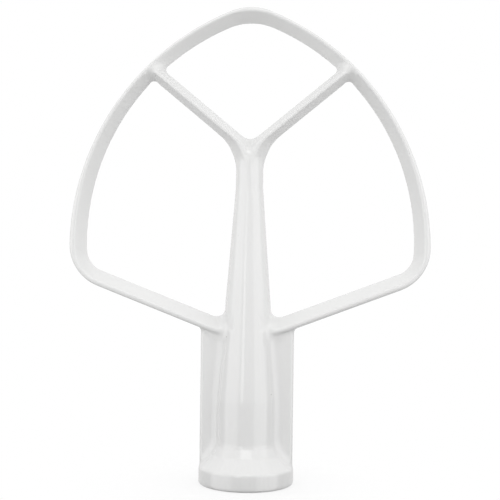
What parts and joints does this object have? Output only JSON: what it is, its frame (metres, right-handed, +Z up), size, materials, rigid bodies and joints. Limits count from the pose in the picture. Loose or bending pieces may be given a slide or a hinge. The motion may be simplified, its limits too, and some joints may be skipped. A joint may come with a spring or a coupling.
{
  "type": "stand mixer flat beater",
  "caption": "Cast flat beater for a stand mixer: a heart-shaped paddle frame with a forked stem, side webs and a hub with a bayonet bore, in a glossy white coating.",
  "frame": {"origin": "centre of the collar's flat end face, on the bore's axis", "axes": "+Z up the stem from the collar to the top of the paddle, +X across the paddle, Y through its thickness with the bayonet slot on the +Y side"},
  "size_m": [0.142, 0.0374, 0.187],
  "materials": {
    "white_coating": "glossy white coating on die-cast aluminium"
  },
  "bodies": {
    "root": {"flat_beater": "white_coating"}
  },
  "joints": []
}
